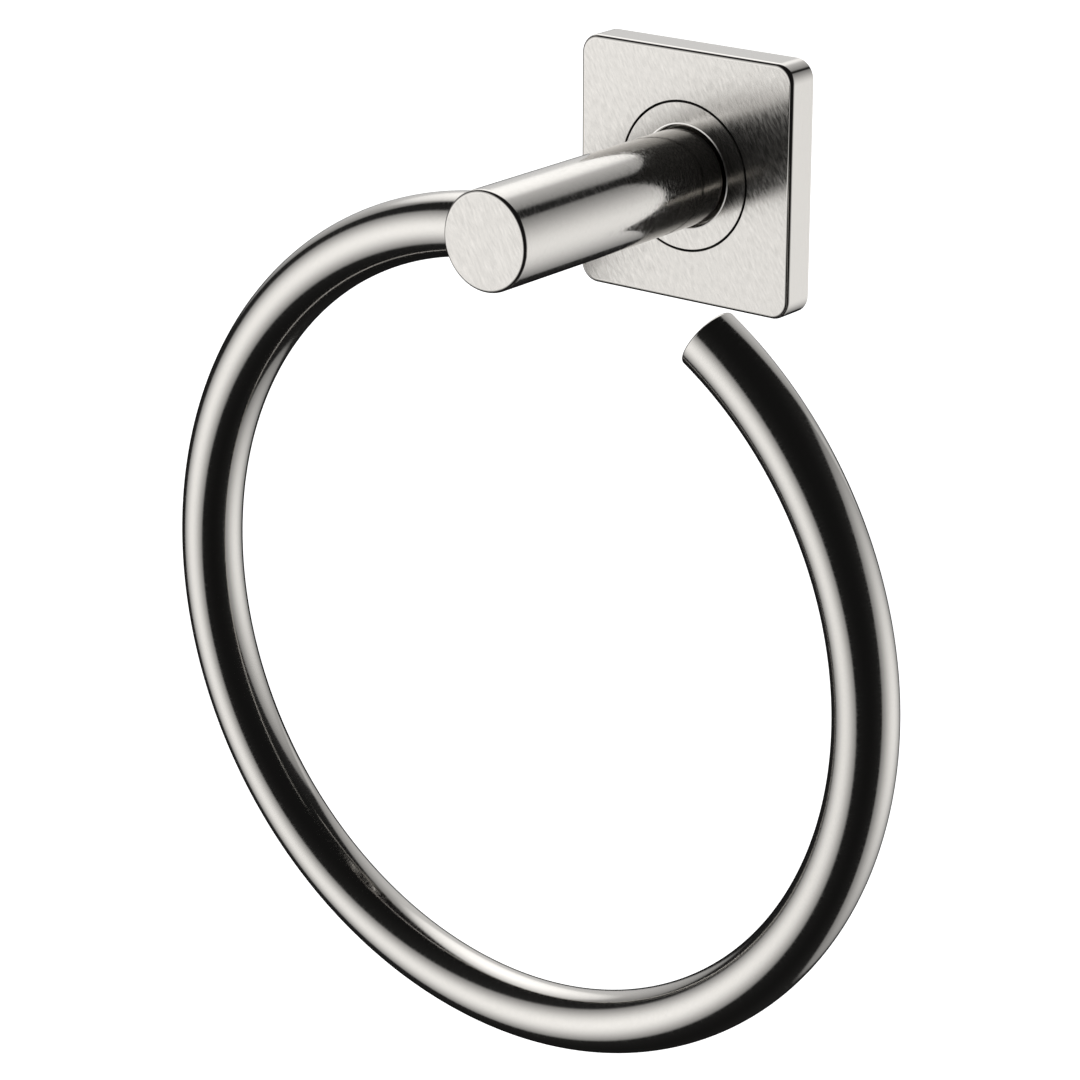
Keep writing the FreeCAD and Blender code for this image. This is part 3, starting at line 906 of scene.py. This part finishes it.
world = bpy.data.worlds.new("studio")
bpy.context.scene.world = world
world.use_nodes = True
wt = world.node_tree
wt.nodes.clear()
w_out = wt.nodes.new("ShaderNodeOutputWorld")
back = wt.nodes.new("ShaderNodeBackground")
direction = wt.nodes.new("ShaderNodeTexCoord").outputs["Generated"]
total = None
for phi, theta, rad, soft, power, falloff, low in SOFTBOXES:
    p, q = math.radians(phi), math.radians(theta)
    c = (math.sin(p) * math.cos(q), -math.cos(p) * math.cos(q), math.sin(q))
    dot = wt.nodes.new("ShaderNodeVectorMath")
    dot.operation = "DOT_PRODUCT"
    nrm = wt.nodes.new("ShaderNodeVectorMath")
    nrm.operation = "NORMALIZE"
    wt.links.new(direction, nrm.inputs[0])
    wt.links.new(nrm.outputs[0], dot.inputs[0])
    dot.inputs[1].default_value = c
    cosine = math_node(wt, "MAXIMUM", math_node(wt, "MINIMUM", dot.outputs["Value"], 1.0), 0.0)
    angle = math_node(wt, "ARCCOSINE", cosine)
    edge = wt.nodes.new("ShaderNodeMapRange")
    edge.interpolation_type = "SMOOTHSTEP"
    wt.links.new(angle, edge.inputs[0])
    edge.inputs[1].default_value = math.radians(rad - soft)
    edge.inputs[2].default_value = math.radians(rad + soft)
    edge.inputs[3].default_value = power
    edge.inputs[4].default_value = 0.0
    lit = math_node(wt, "MULTIPLY", edge.outputs[0], math_node(wt, "POWER", cosine, falloff))
    if low is not None:
        split = wt.nodes.new("ShaderNodeSeparateXYZ")
        wt.links.new(nrm.outputs[0], split.inputs[0])
        cut = wt.nodes.new("ShaderNodeMapRange")
        cut.interpolation_type = "SMOOTHSTEP"
        wt.links.new(split.outputs["Z"], cut.inputs[0])
        cut.inputs[1].default_value = math.sin(math.radians(low - soft))
        cut.inputs[2].default_value = math.sin(math.radians(low + soft))
        cut.inputs[3].default_value = 0.0
        cut.inputs[4].default_value = 1.0
        lit = math_node(wt, "MULTIPLY", lit, cut.outputs[0])
    total = lit if total is None else math_node(wt, "ADD", total, lit)
total = math_node(wt, "ADD", total, DIM)
wt.links.new(total, back.inputs["Strength"])
back.inputs["Color"].default_value = (1, 1, 1, 1)
plain = wt.nodes.new("ShaderNodeBackground")
plain.inputs["Color"].default_value = (1, 1, 1, 1)
plain.inputs["Strength"].default_value = 1.0
mix = wt.nodes.new("ShaderNodeMixShader")
path = wt.nodes.new("ShaderNodeLightPath")
wt.links.new(path.outputs["Is Camera Ray"], mix.inputs[0])
wt.links.new(back.outputs[0], mix.inputs[1])
wt.links.new(plain.outputs[0], mix.inputs[2])
wt.links.new(mix.outputs[0], w_out.inputs[0])

# --------------------------------------------------------------------- camera

AZ, EL = math.radians(38.103), math.radians(19.862)
DIST = 0.794106
TARGET = Vector((-0.042252, 0.0, -0.089181))
back_dir = Vector((math.sin(AZ) * math.cos(EL), -math.cos(AZ) * math.cos(EL), math.sin(EL)))
right = (-back_dir).cross(Vector((0, 0, 1))).normalized()
up = right.cross(-back_dir).normalized()
m = Matrix((right, up, back_dir)).transposed().to_4x4()
m.translation = TARGET + back_dir * DIST
cam_data = bpy.data.cameras.new("camera")
cam_data.sensor_fit = "HORIZONTAL"
cam_data.sensor_width = 36.0
cam_data.lens = 3652.547 / 1080.0 * 36.0
cam_data.clip_start = 0.01
cam_data.clip_end = 200.0
cam = bpy.data.objects.new("camera", cam_data)
cam.matrix_world = m
bpy.context.scene.collection.objects.link(cam)
bpy.context.scene.camera = cam

view = bpy.context.scene.view_settings
view.view_transform = "Standard"
view.look = "None"
view.exposure = 0.0
view.gamma = 1.0
